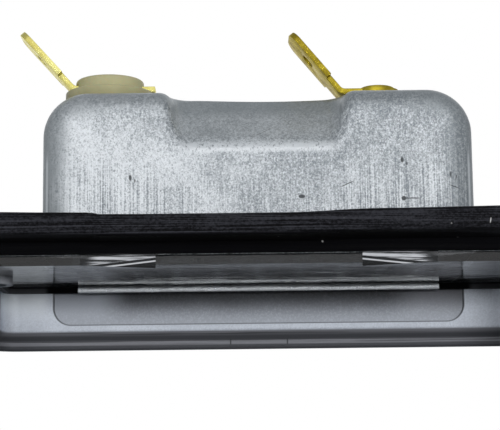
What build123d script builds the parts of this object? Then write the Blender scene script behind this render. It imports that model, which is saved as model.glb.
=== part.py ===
from build123d import *
import os
from math import cos, hypot, radians, sin, tan

# Number plate lamp, in millimetres with +Z up.
# The origin is the middle of the hood's rim plane, on which the lamp stands.
# X runs along the lamp, -Y faces the number plate and +Z points into the car body.

# Fits
FIT = 0.1
HOLE_FIT = 0.2

# Housing: deep-drawn aluminium pan with a flange
SHEET = 0.7
PAN_LENGTH = 57.0
PAN_DEPTH = 21.0
PAN_HEIGHT = 21.75
PAN_END_RADIUS = 6.0
PAN_EDGE_RADIUS = 3.2

# Scoops pressed into the pan's long sides between its two shoulders
SCOOP_WIDTH = 21.2
SCOOP_RISE = 8.1
SCOOP_RUN = 7.1
SCOOP_DRAFT = 16.0
SCOOP_ROOT_RADIUS = 2.4
SCOOP_EDGE_RADIUS = 1.9
DISH_DEPTH = 0.5
DISH_LENGTH = 22.0
DISH_X = 2.0

# Boss drawn up under the earth blade
PAD_DIAMETER = 5.4
PAD_HEIGHT = 0.9

# Hem of the flange that holds the back edge of the lens
HEM_LENGTH = 51.6
HEM_REACH = 0.8
HEM_PLAY = 0.2

# Lens: clear plate that hooks into the hem and snaps over the front of the flange
LENS_LENGTH = 71.4
LENS_FRONT = 12.2
LENS_BACK = 11.7
LENS_THICK = 1.3
LENS_CORNER = 1.2
LUG_START = 13.3
LUG_WIDTH = 9.7
LUG_THICK = 0.6
LUG_TOE = 0.25
LUG_DROP = 0.45
LUG_ROOT = 0.6
LUG_HOOK = 0.5
LUG_HOOK_HEIGHT = 0.55
FLUTE_RISE = 0.6
FLUTE_COUNT = 9

# Gasket: rubber lip, web over the flange and a skirt round the lens
LIP_LENGTH = 82.0
LIP_DEPTH = 38.0
LIP_THICK = 2.8
LIP_CORNER = 7.0
LIP_EDGE_RADIUS = 0.5
WEB_THICK = 0.8
SKIRT_THICK = 0.8
SKIRT_DROP = 1.1

# Hood: cast skirt round the back and the ends of the lens
HOOD_DROP = 8.9
HOOD_WALL = 2.4
HOOD_NOSE_RADIUS = 5.0
HOOD_EDGE_RADIUS = 0.4
RECESS_LENGTH = 59.2
RECESS_DEPTH = 0.6
RECESS_RADIUS = 2.5
RECESS_SILL = 3.6
RIM_HEIGHT = 2.75
RIM_SETBACK = 1.2
RIM_EDGE_HEIGHT = 1.25
RIM_RADIUS = 0.5
GATE_WIDTH = 8.2
GATE_PROUD = 0.15
FIXING_PITCH = 72.0
FIXING_HOLE = 3.4
BOSS_DIAMETER = 5.0
BOSS_HEIGHT = 1.0

# Blade terminals
TAB_WIDTH = 6.3
TAB_THICK = 0.8
TAB_LENGTH = 8.1
TAB_CORNER = 1.7
TAB_HOLE = 2.0
TAB_HOLE_FROM_TIP = 4.2
NECK_WIDTH = 4.2
NECK_LENGTH = 2.6
BEND_RADIUS = 1.2
LIVE_ANGLE = 48.0
EARTH_ANGLE = 50.5
LIVE_X = -20.3
EARTH_X = 16.7
LIVE_BEND_GAP = 0.2
EARTH_BEND = 5.1
LIVE_TAIL = 6.3
TAIL_WIDTH = 2.4
FOOT_DIAMETER = 6.0

# Insulators and rivets
BUSH_BASE_DIAMETER = 12.2
BUSH_BASE_HEIGHT = 1.7
BUSH_BASE_SKIRT = 1.3
BUSH_TOP_DIAMETER = 9.4
BUSH_TOP_HEIGHT = 1.8
BUSH_EDGE_RADIUS = 0.5
SPIGOT_DIAMETER = 5.0
WASHER_DIAMETER = 11.0
WASHER_THICK = 1.2
RIVET_SHANK = 3.0
RIVET_HEAD = 4.8
RIVET_HEAD_HEIGHT = 0.4

# Contact springs
SPRING_THICK = 0.4
SPRING_WIDTH = 7.0
SPRING_HEEL = 3.0
SPRING_TOE = 4.6
SPRING_BEND_RADIUS = 1.0
SPRING_TAIL = 3.6
SPRING_FLARE = 1.2
SPRING_EYE = 3.8

# Festoon bulb
BULB_LENGTH = 36.0
BULB_DIAMETER = 10.6
BULB_AXIS_DROP = 11.2
GLASS_WALL = 0.5
GLASS_SHOULDER = 3.0
CAP_DIAMETER = 8.0
CAP_LENGTH = 6.4
CAP_WALL = 0.3
CAP_CONE = 1.2
NIPPLE_DIAMETER = 3.0
NIPPLE_LENGTH = 1.0
LEAD_DIAMETER = 0.4
COIL_DIAMETER = 0.9
COIL_LENGTH = 8.0

# Heights that follow from the sizes above
LENS_BOTTOM = HOOD_DROP
LENS_TOP = LENS_BOTTOM + LENS_THICK
FLANGE_TOP = LENS_TOP + SHEET
LIP_BOTTOM = FLANGE_TOP + WEB_THICK
LIP_TOP = LIP_BOTTOM + LIP_THICK
PAN_TOP = FLANGE_TOP + PAN_HEIGHT
PAN_CEILING = PAN_TOP - SHEET
PAD_TOP = PAN_TOP + PAD_HEIGHT
BULB_Z = PAN_CEILING - BULB_AXIS_DROP
BULB_X = (LIVE_X + EARTH_X) / 2

# Plan distances that follow from the sizes above
HEM_BACK = LENS_BACK + FIT + SHEET
SKIRT_BACK = HEM_BACK + FIT + SKIRT_THICK
SKIRT_FRONT = LENS_FRONT + LUG_THICK + FIT + SKIRT_THICK
SKIRT_HALF = LENS_LENGTH / 2 + FIT + SKIRT_THICK
SKIRT_CORNER = LENS_CORNER + FIT + SKIRT_THICK
HOOD_BACK = SKIRT_BACK + FIT
HOOD_HALF = SKIRT_HALF + FIT
HOOD_CORNER = SKIRT_CORNER + FIT


def plan(half_length: float, front: float, back: float, corner: float) -> Sketch:
    """Rounded rectangle in plan, from -front to +back in Y."""
    outline = RectangleRounded(2 * half_length, front + back, corner)
    return Pos(0, (back - front) / 2) * outline


def slab(outline: Sketch, bottom: float, top: float) -> Part:
    """Outline in plan made solid between two heights."""
    return Pos(0, 0, bottom) * extrude(outline, top - bottom)


def post(x: float, bottom: float, top: float, diameter: float) -> Part:
    """Upright cylinder on the lamp's middle plane."""
    return Pos(x, 0, (bottom + top) / 2) * Cylinder(diameter / 2, top - bottom)


def block(x: tuple, y: tuple, z: tuple) -> Part:
    """Box between two corners, given as a range along each axis."""
    middle = Pos(sum(x) / 2, sum(y) / 2, sum(z) / 2)
    return middle * Box(x[1] - x[0], y[1] - y[0], z[1] - z[0])


def fixing_slot(bottom: float, top: float) -> Part:
    """Open-ended slots for the fixing screws in both ends of the lens and the flange."""
    x = FIXING_PITCH / 2
    radius = FIXING_HOLE / 2
    slots = []
    for side in (-1, 1):
        ends = sorted((side * x, side * LENS_LENGTH))
        slots.append(post(side * x, bottom, top, FIXING_HOLE))
        slots.append(block(tuple(ends), (-radius, radius), (bottom, top)))
    return Part() + slots


def scoop_tool(inset: float, side: int) -> Part:
    """Volume that presses the scoop into one long side of the pan, moved inwards by the inset."""
    slope = hypot(SCOOP_RUN, SCOOP_RISE)
    normal = Vector(0, -SCOOP_RISE / slope, SCOOP_RUN / slope)
    along = Vector(1, 0, 0)
    middle = Vector(0, -PAN_DEPTH / 2 + SCOOP_RUN / 2, PAN_TOP - SCOOP_RISE / 2)
    floor = Plane(origin=middle - normal * inset, x_dir=along, z_dir=normal)
    height = SCOOP_RISE + PAN_EDGE_RADIUS
    width = SCOOP_WIDTH + 2 * inset
    flare = 2 * height * tan(radians(SCOOP_DRAFT))
    low = floor * Rectangle(width, 3 * slope)
    high = floor.offset(height) * Rectangle(width + flare, 3 * slope)
    tool = loft(Sketch() + [low, high])
    roots = [e for e in tool.edges() if abs(floor.to_local_coords(e.center()).Z) < FIT / 10]
    roots = [e for e in roots if abs(e.center().X) > width / 4]
    tool = fillet(roots, SCOOP_ROOT_RADIUS)
    return tool if side < 0 else mirror(tool, about=Plane.XZ)


def dish(inset: float) -> Part:
    """Volume that dishes the pan's top between its two shoulders."""
    radius = DISH_LENGTH * DISH_LENGTH / (8 * DISH_DEPTH) + DISH_DEPTH / 2
    centre = Pos(DISH_X, 0, PAN_TOP - DISH_DEPTH + radius)
    return centre * Rot(90, 0, 0) * Cylinder(radius + inset, 2 * PAN_DEPTH)


def pan_solid(inset: float, bottom: float) -> Part:
    """Outer form of the pan, or the form of its inside when inset by the sheet."""
    half = PAN_LENGTH / 2 - inset
    half_depth = PAN_DEPTH / 2 - inset
    top = PAN_TOP - inset
    profile = Pos(0, (bottom + top) / 2) * Rectangle(2 * half, top - bottom)
    upper = profile.vertices().group_by(Axis.Y)[-1]
    profile = fillet(upper, PAN_END_RADIUS - inset)
    body = extrude(Plane.XZ * profile, half_depth, both=True)
    rims = [e for e in body.edges() if abs(abs(e.center().Y) - half_depth) < FIT / 10]
    rims = [e for e in rims if e.center().Z > bottom + FIT]
    body = fillet(rims, PAN_EDGE_RADIUS - inset)
    for side in (-1, 1):
        tool = scoop_tool(inset, side)
        scooped = body - tool
        edges = new_edges(body, tool, combined=scooped)
        body = scooped
        if inset == 0:
            rim = [e for e in edges if e.center().Y * side > 0]
            body = fillet(rim, SCOOP_EDGE_RADIUS)
    return body - dish(inset)


def hem() -> Part:
    """Back of the flange folded down and under the lens."""
    low = LENS_BOTTOM - HEM_PLAY - SHEET
    front = LENS_BACK - HEM_REACH
    outer = block((-HEM_LENGTH / 2, HEM_LENGTH / 2), (front, HEM_BACK), (low, FLANGE_TOP))
    bends = outer.edges().filter_by(Axis.X).group_by(Axis.Y)[-1]
    outer = fillet(bends, SHEET)
    inner = block((-HEM_LENGTH, HEM_LENGTH), (0, LENS_BACK + FIT), (low + SHEET, LENS_TOP))
    return outer - inner


def housing() -> Part:
    """Pan, flange and hem pressed from one sheet."""
    inside = pan_solid(SHEET, LENS_TOP - FIT)
    outline = plan(LENS_LENGTH / 2, LENS_FRONT, LENS_BACK, LENS_CORNER)
    body = pan_solid(0, LENS_TOP) + slab(outline, LENS_TOP, FLANGE_TOP) + hem()
    body -= inside
    body -= post(LIVE_X, PAN_CEILING - FIT, PAN_TOP + FIT, SPIGOT_DIAMETER + HOLE_FIT)
    body += post(EARTH_X, PAN_TOP - SHEET / 2, PAD_TOP, PAD_DIAMETER)
    body -= post(EARTH_X, PAN_CEILING - FIT, PAD_TOP - SHEET, PAD_DIAMETER - 2 * SHEET)
    body -= post(EARTH_X, PAN_CEILING - FIT, PAD_TOP + FIT, RIVET_SHANK + HOLE_FIT)
    return body - fixing_slot(LENS_TOP - FIT, FLANGE_TOP + FIT)


def lug_section(side: int, reach: float, thick: float, drop: float) -> Sketch:
    """Section of a snap lug at a distance from the middle, hooked over the flange."""
    front = -LENS_FRONT - thick
    hook = FLANGE_TOP + LUG_HOOK_HEIGHT
    outline = Polyline(
        (-LENS_FRONT + LUG_ROOT, LENS_BOTTOM),
        (-LENS_FRONT, LENS_BOTTOM - drop),
        (front, LENS_TOP),
        (front, hook),
        (-LENS_FRONT - FIT, hook),
        (-LENS_FRONT + LUG_HOOK, FLANGE_TOP),
        (-LENS_FRONT - FIT, FLANGE_TOP),
        (-LENS_FRONT - FIT, LENS_TOP),
        (-LENS_FRONT + LUG_ROOT, LENS_TOP),
        close=True,
    )
    return Pos(side * reach, 0, 0) * (Plane.YZ * make_face(outline))


def lug(side: int) -> Part:
    """Snap lug on the front edge of the lens, a ramp that is thickest at its inner end."""
    inner = lug_section(side, LUG_START, LUG_THICK, LUG_DROP)
    outer = lug_section(side, LUG_START + LUG_WIDTH, LUG_TOE, 0)
    return loft([inner, outer], ruled=True)


def lens() -> Part:
    """Clear plate with upright flutes on its inner face and two snap lugs."""
    outline = plan(LENS_LENGTH / 2, LENS_FRONT, LENS_BACK, LENS_CORNER)
    plate = slab(outline, LENS_BOTTOM, LENS_TOP)
    window = PAN_LENGTH - 2 * SHEET - 2 * HOLE_FIT
    depth = PAN_DEPTH - 2 * PAN_EDGE_RADIUS
    pitch = (window - 2 * PAN_EDGE_RADIUS) / FLUTE_COUNT
    radius = pitch * pitch / (8 * FLUTE_RISE) + FLUTE_RISE / 2
    for index in range(FLUTE_COUNT):
        x = (index - (FLUTE_COUNT - 1) / 2) * pitch
        centre = Pos(x, 0, LENS_TOP + FLUTE_RISE - radius)
        roll = centre * Rot(90, 0, 0) * Cylinder(radius, depth)
        across = (x - pitch / 2, x + pitch / 2)
        keep = block(across, (-depth, depth), (LENS_TOP - FIT, LENS_TOP + radius))
        plate += roll & keep
    plate += [lug(-1), lug(1)]
    return plate - fixing_slot(LENS_BOTTOM - FIT, LENS_TOP + FIT)


def gasket() -> Part:
    """Rubber lip with a web over the flange and a skirt at the back and the ends."""
    outline = plan(LIP_LENGTH / 2, LIP_DEPTH / 2, LIP_DEPTH / 2, LIP_CORNER)
    lip = slab(outline, LIP_BOTTOM, LIP_TOP)
    lip = fillet(lip.edges().filter_by(Axis.Z, reverse=True), LIP_EDGE_RADIUS)
    ear = FIXING_HOLE + 2 * SKIRT_THICK
    lip += [post(side * FIXING_PITCH / 2, LIP_BOTTOM, LIP_TOP, ear) for side in (-1, 1)]
    outline = plan(SKIRT_HALF, SKIRT_FRONT, SKIRT_BACK, SKIRT_CORNER)
    body = lip + slab(outline, LENS_BOTTOM - SKIRT_DROP, LIP_BOTTOM)
    seat_front = SKIRT_FRONT - SKIRT_THICK
    seat_back = SKIRT_BACK - SKIRT_THICK
    seat = plan(SKIRT_HALF - SKIRT_THICK, seat_front, seat_back, LENS_CORNER)
    body -= slab(seat, LENS_BOTTOM - 2 * SKIRT_DROP, FLANGE_TOP)
    half_depth = PAN_DEPTH / 2 + FIT
    opening = plan(PAN_LENGTH / 2 + FIT, half_depth, half_depth, PAN_EDGE_RADIUS + FIT)
    body -= slab(opening, FLANGE_TOP - FIT, LIP_TOP + FIT)
    wide = (-LIP_LENGTH, LIP_LENGTH)
    body -= block(wide, (-LIP_DEPTH, -LENS_FRONT + LENS_CORNER), (0, LENS_TOP))
    boss = BOSS_DIAMETER / 2 + FIT
    for side in (-1, 1):
        x = side * FIXING_PITCH / 2
        ends = sorted((x - side * boss, side * LIP_LENGTH))
        body -= block(tuple(ends), (-boss, boss), (0, LENS_BOTTOM))
        body -= post(x, 0, LIP_TOP + FIT, FIXING_HOLE)
        start = side * (LUG_START + LUG_WIDTH / 2)
        reach = LUG_WIDTH / 2 + FIT
        across = (start - reach, start + reach)
        along = (-seat_front, -LENS_FRONT + LUG_HOOK + FIT)
        body -= block(across, along, (LENS_TOP, FLANGE_TOP + LUG_HOOK_HEIGHT + FIT))
    return body


def hood_section() -> Sketch:
    """Section of the hood's wall, out from its inner face and up from the rim, with the rim's bevel."""
    outline = Polyline(
        (0, LIP_BOTTOM),
        (HOOD_WALL, LIP_BOTTOM),
        (HOOD_WALL, 0),
        (RIM_SETBACK, 0),
        (RIM_SETBACK, RIM_EDGE_HEIGHT),
        (0, RIM_HEIGHT),
        close=True,
    )
    section = make_face(outline)
    foot = section.vertices().group_by(Axis.Y)[0]
    section = fillet(foot, HOOD_EDGE_RADIUS)
    crest = section.vertices().sort_by_distance((0, RIM_HEIGHT))[0]
    return fillet(crest, RIM_RADIUS)


def hood_nose() -> Part:
    """Corner taken off the front of the hood's ends."""
    y = -LENS_FRONT + HOOD_NOSE_RADIUS
    wide = (-LIP_LENGTH, LIP_LENGTH)
    corner = block(wide, (-LENS_FRONT - FIT, y), (-FIT, HOOD_NOSE_RADIUS))
    centre = Pos(0, y, HOOD_NOSE_RADIUS)
    return corner - centre * Rot(0, 90, 0) * Cylinder(HOOD_NOSE_RADIUS, 2 * LIP_LENGTH)


def hood() -> Part:
    """Cast skirt with a recessed back wall, a bevelled rim and bosses for the fixing screws."""
    route = FilletPolyline(
        (-HOOD_HALF, -LENS_FRONT),
        (-HOOD_HALF, HOOD_BACK),
        (HOOD_HALF, HOOD_BACK),
        (HOOD_HALF, -LENS_FRONT),
        radius=HOOD_CORNER,
    )
    start = Plane(origin=(-HOOD_HALF, -LENS_FRONT, 0), x_dir=(-1, 0, 0), z_dir=(0, 1, 0))
    body = sweep(start * hood_section(), path=route)
    body -= hood_nose()
    height = LIP_TOP - RECESS_SILL
    recess = RectangleRounded(RECESS_LENGTH, height, RECESS_RADIUS)
    recess = Pos(0, RECESS_SILL + height / 2) * recess
    body -= Pos(0, HOOD_BACK + RECESS_DEPTH, 0) * extrude(Plane.XZ * recess, 2 * RECESS_DEPTH)
    half = GATE_WIDTH / 2
    gate = HOOD_BACK + RIM_SETBACK
    across = (gate - GATE_PROUD, gate + HOOD_EDGE_RADIUS)
    body += block((-half, half), across, (HOOD_EDGE_RADIUS, RIM_EDGE_HEIGHT))
    for side in (-1, 1):
        x = side * FIXING_PITCH / 2
        body -= post(x, -FIT, LENS_BOTTOM - BOSS_HEIGHT, BOSS_DIAMETER)
        body += post(x, LENS_BOTTOM - BOSS_HEIGHT, LENS_BOTTOM, BOSS_DIAMETER)
        body -= post(x, 0, LIP_BOTTOM + FIT, FIXING_HOLE)
    return body


def strip(points: list, thickness: float, width: float, radius: float) -> Part:
    """Flat strip bent along a route in the XZ plane."""
    route = FilletPolyline(*points, radius=radius)
    return extrude(Plane.XZ * trace(route, thickness), width / 2, both=True)


def terminal(x: float, middle: float, bend: float, angle: float, tail: float = 0) -> Part:
    """Blade bent up towards -X from a round foot at a height, with or without a tail behind the foot."""
    run = cos(radians(angle))
    rise = sin(radians(angle))
    length = NECK_LENGTH + TAB_LENGTH
    bend_x = x - bend
    reach = max(tail, FOOT_DIAMETER / 2)
    route = [(x + reach, middle), (bend_x, middle), (bend_x - length * run, middle + length * rise)]
    body = strip(route, TAB_THICK, TAB_WIDTH, BEND_RADIUS)
    face = Plane(origin=(bend_x, 0, middle), x_dir=(-run, 0, rise), z_dir=(rise, 0, run))
    tab = Pos(NECK_LENGTH + TAB_LENGTH / 2, 0) * Rectangle(TAB_LENGTH, TAB_WIDTH)
    tab = fillet(tab.vertices().group_by(Axis.X)[-1], TAB_CORNER)
    neck = Rectangle(2 * NECK_LENGTH + FIT, NECK_WIDTH)
    keep = extrude(face * (tab + neck), BEND_RADIUS + TAB_THICK, both=True)
    low = middle - TAB_THICK
    high = middle + TAB_THICK
    keep += block((bend_x, x), (-NECK_WIDTH / 2, NECK_WIDTH / 2), (low, high))
    keep += post(x, low, high, FOOT_DIAMETER)
    if tail:
        keep += block((x, x + tail), (-TAIL_WIDTH / 2, TAIL_WIDTH / 2), (low, high))
    hole_at = length - TAB_HOLE_FROM_TIP
    hole = extrude(face * (Pos(hole_at, 0) * Circle(TAB_HOLE / 2)), TAB_THICK, both=True)
    return (body & keep) - hole - post(x, low, high, RIVET_SHANK + HOLE_FIT)


def live_insulator() -> Part:
    """Nylon bush that sits on the pan and carries the live blade, with a spigot through the pan."""
    step = PAN_TOP + BUSH_BASE_HEIGHT
    top = step + BUSH_TOP_HEIGHT
    base = post(LIVE_X, PAN_TOP - BUSH_BASE_SKIRT, step, BUSH_BASE_DIAMETER)
    base = fillet(base.edges().filter_by(GeomType.CIRCLE), BUSH_EDGE_RADIUS / 2)
    base -= pan_solid(0, LENS_TOP)
    crown = post(LIVE_X, step, top, BUSH_TOP_DIAMETER)
    crown = fillet(crown.edges().group_by(Axis.Z)[-1], BUSH_EDGE_RADIUS)
    body = base + crown + post(LIVE_X, PAN_CEILING, PAN_TOP, SPIGOT_DIAMETER)
    foot = (step, step + TAB_THICK)
    neck = NECK_WIDTH / 2 + FIT
    bend = (step, step + TAB_THICK + HOLE_FIT)
    body -= block((LIVE_X - BUSH_BASE_DIAMETER, LIVE_X), (-neck, neck), bend)
    tail = TAIL_WIDTH / 2 + FIT
    body -= block((LIVE_X, LIVE_X + BUSH_BASE_DIAMETER), (-tail, tail), foot)
    body -= post(LIVE_X, *foot, FOOT_DIAMETER + HOLE_FIT)
    body -= post(LIVE_X, step, step + TAB_THICK + RIVET_HEAD_HEIGHT, RIVET_HEAD + HOLE_FIT)
    return body - post(LIVE_X, 0, step, RIVET_SHANK + HOLE_FIT)


def live_inner_insulator() -> Part:
    """Washer that parts the live contact spring from the housing, moulded to the pan's inside."""
    bottom = PAN_CEILING - WASHER_THICK
    hole = post(LIVE_X, bottom - FIT, PAN_CEILING + FIT, RIVET_SHANK + HOLE_FIT)
    washer = post(LIVE_X, bottom, PAN_CEILING, WASHER_DIAMETER) - hole
    return washer & pan_solid(SHEET, LENS_TOP)


def rivet(x: float, bottom: float, top: float) -> Part:
    """Rivet with a rounded head at both ends, clamping what lies between two heights."""
    body = post(x, bottom, top, RIVET_SHANK)
    for low in (bottom - RIVET_HEAD_HEIGHT, top):
        head = post(x, low, low + RIVET_HEAD_HEIGHT, RIVET_HEAD)
        outer = head.edges().group_by(Axis.Z)[0 if low < bottom else -1]
        body += fillet(outer, RIVET_HEAD_HEIGHT / 2)
    return body


def contact_spring(x: float, top: float, side: int) -> Part:
    """Bent strip hung from a rivet, with an eye for the nipple of the bulb's cap."""
    middle = top - SPRING_THICK / 2
    heel = (x - side * SPRING_HEEL, middle)
    knee = (x + side * SPRING_TOE, middle)
    contact_x = BULB_X + side * (BULB_LENGTH / 2 - NIPPLE_LENGTH / 2)
    toe = (contact_x + side * SPRING_FLARE, BULB_Z - SPRING_TAIL)
    route = [heel, knee, (contact_x, BULB_Z), toe]
    body = strip(route, SPRING_THICK, SPRING_WIDTH, SPRING_BEND_RADIUS)
    eye = Pos(contact_x, 0, BULB_Z) * Rot(0, 90, 0) * Cylinder(SPRING_EYE / 2, SPRING_TOE)
    hole = post(x, middle - SPRING_THICK, middle + SPRING_THICK, RIVET_SHANK + HOLE_FIT)
    return body - eye - hole


def turned(points: list, x: float = 0, side: int = 1) -> Part:
    """Solid of revolution about the bulb's axis, from points along it and out from it."""
    section = Polyline(*[(x + side * along, BULB_Z + out) for along, out in points], close=True)
    axis = Axis((0, 0, BULB_Z), (1, 0, 0))
    return revolve(Plane.XZ * make_face(section), axis)


def bulb_glass() -> Part:
    """Hollow glass of the festoon bulb, narrowed into the caps."""
    end = BULB_LENGTH / 2 - NIPPLE_LENGTH - CAP_CONE - CAP_WALL
    mouth = BULB_LENGTH / 2 - NIPPLE_LENGTH - CAP_CONE - CAP_LENGTH
    neck = CAP_DIAMETER / 2 - CAP_WALL - FIT
    belly = BULB_DIAMETER / 2
    outer = [(0, belly), (mouth - GLASS_SHOULDER, belly), (mouth, neck), (end, neck)]
    inner = [(end, neck - GLASS_WALL), (mouth, neck - GLASS_WALL)]
    inner += [(mouth - GLASS_SHOULDER, belly - GLASS_WALL), (0, belly - GLASS_WALL)]
    half = turned(outer + inner, BULB_X)
    return half + mirror(half, about=Plane.YZ.offset(BULB_X))


def bulb_cap(side: int) -> Part:
    """Metal cap of the bulb with a cone and a nipple."""
    tip = BULB_LENGTH / 2
    base = tip - NIPPLE_LENGTH
    crown = base - CAP_CONE
    mouth = crown - CAP_LENGTH
    radius = CAP_DIAMETER / 2
    nipple = NIPPLE_DIAMETER / 2
    floor = crown - CAP_WALL
    bore = radius - CAP_WALL
    outer = [(mouth, radius), (crown, radius), (base, nipple), (tip, nipple), (tip, 0)]
    inner = [(floor, 0), (floor, bore), (mouth, bore)]
    return turned(outer + inner, BULB_X, side)


def bulb_filament() -> Part:
    """Coil on its two lead wires, from cap to cap."""
    half = BULB_LENGTH / 2 - NIPPLE_LENGTH - CAP_CONE - CAP_WALL
    lead = LEAD_DIAMETER / 2
    coil = COIL_DIAMETER / 2
    reach = COIL_LENGTH / 2
    left = [(-half, 0), (-half, lead), (-reach, lead), (-reach, coil)]
    right = [(reach, coil), (reach, lead), (half, lead), (half, 0)]
    return turned(left + right, BULB_X)


def pieces() -> dict:
    """All pieces by node name."""
    live_foot = PAN_TOP + BUSH_BASE_HEIGHT + TAB_THICK / 2
    earth_foot = PAD_TOP + TAB_THICK / 2
    live_spring_top = PAN_CEILING - WASHER_THICK
    live_bend = BUSH_TOP_DIAMETER / 2 + LIVE_BEND_GAP
    return {
        "housing": housing(),
        "gasket": gasket(),
        "lens": lens(),
        "hood": hood(),
        "live_insulator": live_insulator(),
        "live_inner_insulator": live_inner_insulator(),
        "live_terminal": terminal(LIVE_X, live_foot, live_bend, LIVE_ANGLE, LIVE_TAIL),
        "earth_terminal": terminal(EARTH_X, earth_foot, EARTH_BEND, EARTH_ANGLE),
        "live_rivet": rivet(LIVE_X, live_spring_top - SPRING_THICK, live_foot + TAB_THICK / 2),
        "earth_rivet": rivet(EARTH_X, PAN_CEILING - SPRING_THICK, earth_foot + TAB_THICK / 2),
        "live_contact_spring": contact_spring(LIVE_X, live_spring_top, -1),
        "earth_contact_spring": contact_spring(EARTH_X, PAN_CEILING, 1),
        "bulb_glass": bulb_glass(),
        "bulb_cap_live": bulb_cap(-1),
        "bulb_cap_earth": bulb_cap(1),
        "bulb_filament": bulb_filament(),
    }


os.makedirs("parts", exist_ok=True)
for name, piece in pieces().items():
    export_step(piece, os.path.join("parts", name + ".step"))
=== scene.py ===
import logging
import math
from collections.abc import Iterable
from dataclasses import dataclass
from enum import Enum
from functools import partial, reduce

import bmesh
import bpy
from mathutils import Euler, Matrix, Vector


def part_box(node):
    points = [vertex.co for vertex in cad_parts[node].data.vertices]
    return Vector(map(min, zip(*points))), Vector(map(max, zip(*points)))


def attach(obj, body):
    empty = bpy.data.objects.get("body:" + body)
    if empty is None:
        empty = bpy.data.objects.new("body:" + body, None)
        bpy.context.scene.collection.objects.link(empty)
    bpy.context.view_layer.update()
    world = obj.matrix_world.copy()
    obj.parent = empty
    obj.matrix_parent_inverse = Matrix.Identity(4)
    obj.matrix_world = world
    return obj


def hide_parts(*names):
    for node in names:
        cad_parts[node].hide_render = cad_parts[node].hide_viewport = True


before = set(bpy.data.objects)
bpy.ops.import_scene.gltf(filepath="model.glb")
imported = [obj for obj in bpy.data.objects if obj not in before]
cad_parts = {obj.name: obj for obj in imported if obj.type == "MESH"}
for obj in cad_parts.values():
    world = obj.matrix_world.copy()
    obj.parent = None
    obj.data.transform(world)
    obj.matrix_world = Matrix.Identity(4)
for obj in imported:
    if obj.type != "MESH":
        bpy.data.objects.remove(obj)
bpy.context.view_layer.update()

# One millimetre in metres.
MM = 0.001
# In millimetres and degrees.
JOIN_DISTANCE = 0.001
SHARP_ANGLE = 35.0
LOG = logging.getLogger("number_plate_lamp")
SEEN_RAYS = ("Is Camera Ray", "Is Glossy Ray", "Is Transmission Ray")

Triple = tuple[float, float, float]
Colour = Triple
Socket = bpy.types.NodeSocket
# Where a ramp is 0 and where it is 1.
Span = tuple[float, float]
# Source values where a ramp starts and ends, and its results there.
Ramp = tuple[float, float, float, float]


class Body(Enum):
    """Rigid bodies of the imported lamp."""

    LAMP = "root"


class Slot(Enum):
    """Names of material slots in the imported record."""

    RUBBER = "rubber"
    BRASS = "brass"
    TUNGSTEN = "tungsten"


def even(value: float) -> Triple:
    """The same value along X, Y and Z."""
    return (value, value, value)


def metres(values: Triple) -> list[float]:
    """Lengths in millimetres turned into metres."""
    return [value * MM for value in values]


def radians(values: Triple) -> list[float]:
    """Angles in degrees turned into radians."""
    return [math.radians(value) for value in values]


@dataclass(frozen=True)
class Grain:
    """One noise of a finish.

    Its scale is in cycles per metre and its turn in degrees. Its share is its weight in the finish's tone,
    and its relief the height of its bump in millimetres.
    """

    scale: Triple
    detail: float = 3.0
    rough: float = 0.55
    warp: float = 0.0
    turn: Triple = (0.0, 0.0, 0.0)
    share: float = 0.0
    relief: float = 0.0


@dataclass(frozen=True)
class Mark:
    """One small mark in the shape of an ellipsoid, in millimetres and degrees."""

    centre: Triple
    radii: Triple
    turn: Triple = (0.0, 0.0, 0.0)
    soft: float = 0.5
    strength: float = 1.0


@dataclass(frozen=True)
class Zone:
    """Smooth step along one measure, from a value of least to one of share, in millimetres.

    With a middle it is a band, and the step goes by the distance from there.
    """

    measure: str
    clear: float
    full: float
    middle: float | None = None
    least: float = 0.0
    share: float = 1.0


Zones = tuple[Zone, ...]


class NodeBuilder:
    """Adds nodes to one node tree."""

    def __init__(self, tree: bpy.types.NodeTree) -> None:
        """Takes the tree to build in."""
        self.tree = tree

    def link(self, source: Socket, target: Socket) -> None:
        """Joins two sockets."""
        self.tree.links.new(source, target)

    def feed(self, target: Socket, value: object) -> None:
        """Links an input to a socket, or sets it to a plain value.

        Args:
            target: Input to fill.
            value: Socket or plain value.
        """
        if isinstance(value, Socket):
            self.link(value, target)
        else:
            target.default_value = value

    def node(self, kind: str, *first: object, **named: object) -> bpy.types.Node:
        """Adds a node.

        Args:
            kind: Type of the node.
            first: Sockets or values for its first inputs, in their order.
            named: Settings of the node by names in small letters, and sockets or values for inputs by
                their own names, with underscores for spaces.

        Returns:
            The node.
        """
        node = self.tree.nodes.new(kind)
        for name, value in named.items():
            if name.islower():
                setattr(node, name, value)
            else:
                self.feed(node.inputs[name.replace("_", " ")], value)
        for target, value in zip(node.inputs, first):
            self.feed(target, value)
        return node

    def math(self, kind: str, first: Socket | float, second: Socket | float = 0.0) -> Socket:
        """Result of one Math operation on sockets or numbers."""
        return self.node("ShaderNodeMath", first, second, operation=kind).outputs[0]

    def chain(self, kind: str, values: Iterable[Socket | float]) -> Socket:
        """One Math operation over several values, from the first to the last."""
        return reduce(partial(self.math, kind), values)

    def sum(self, *terms: tuple[Socket, Socket | float]) -> Socket:
        """Sum of sockets, each times its weight."""
        return self.chain("ADD", [self.math("MULTIPLY", *term) for term in terms])

    def product(self, *factors: Socket | float) -> Socket:
        """Product of sockets and numbers."""
        return self.chain("MULTIPLY", factors)

    def union(self, *masks: Socket) -> Socket:
        """Largest of several masks."""
        return self.chain("MAXIMUM", masks)

    def ramp(
        self, source: Socket, low: Socket | float, high: Socket | float, start: float = 0.0, end: float = 1.0
    ) -> Socket:
        """Smooth ramp over a source, from start at low to end at high."""
        inputs = (source, low, high, start, end)
        return self.node("ShaderNodeMapRange", *inputs, interpolation_type="SMOOTHSTEP").outputs["Result"]


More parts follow.
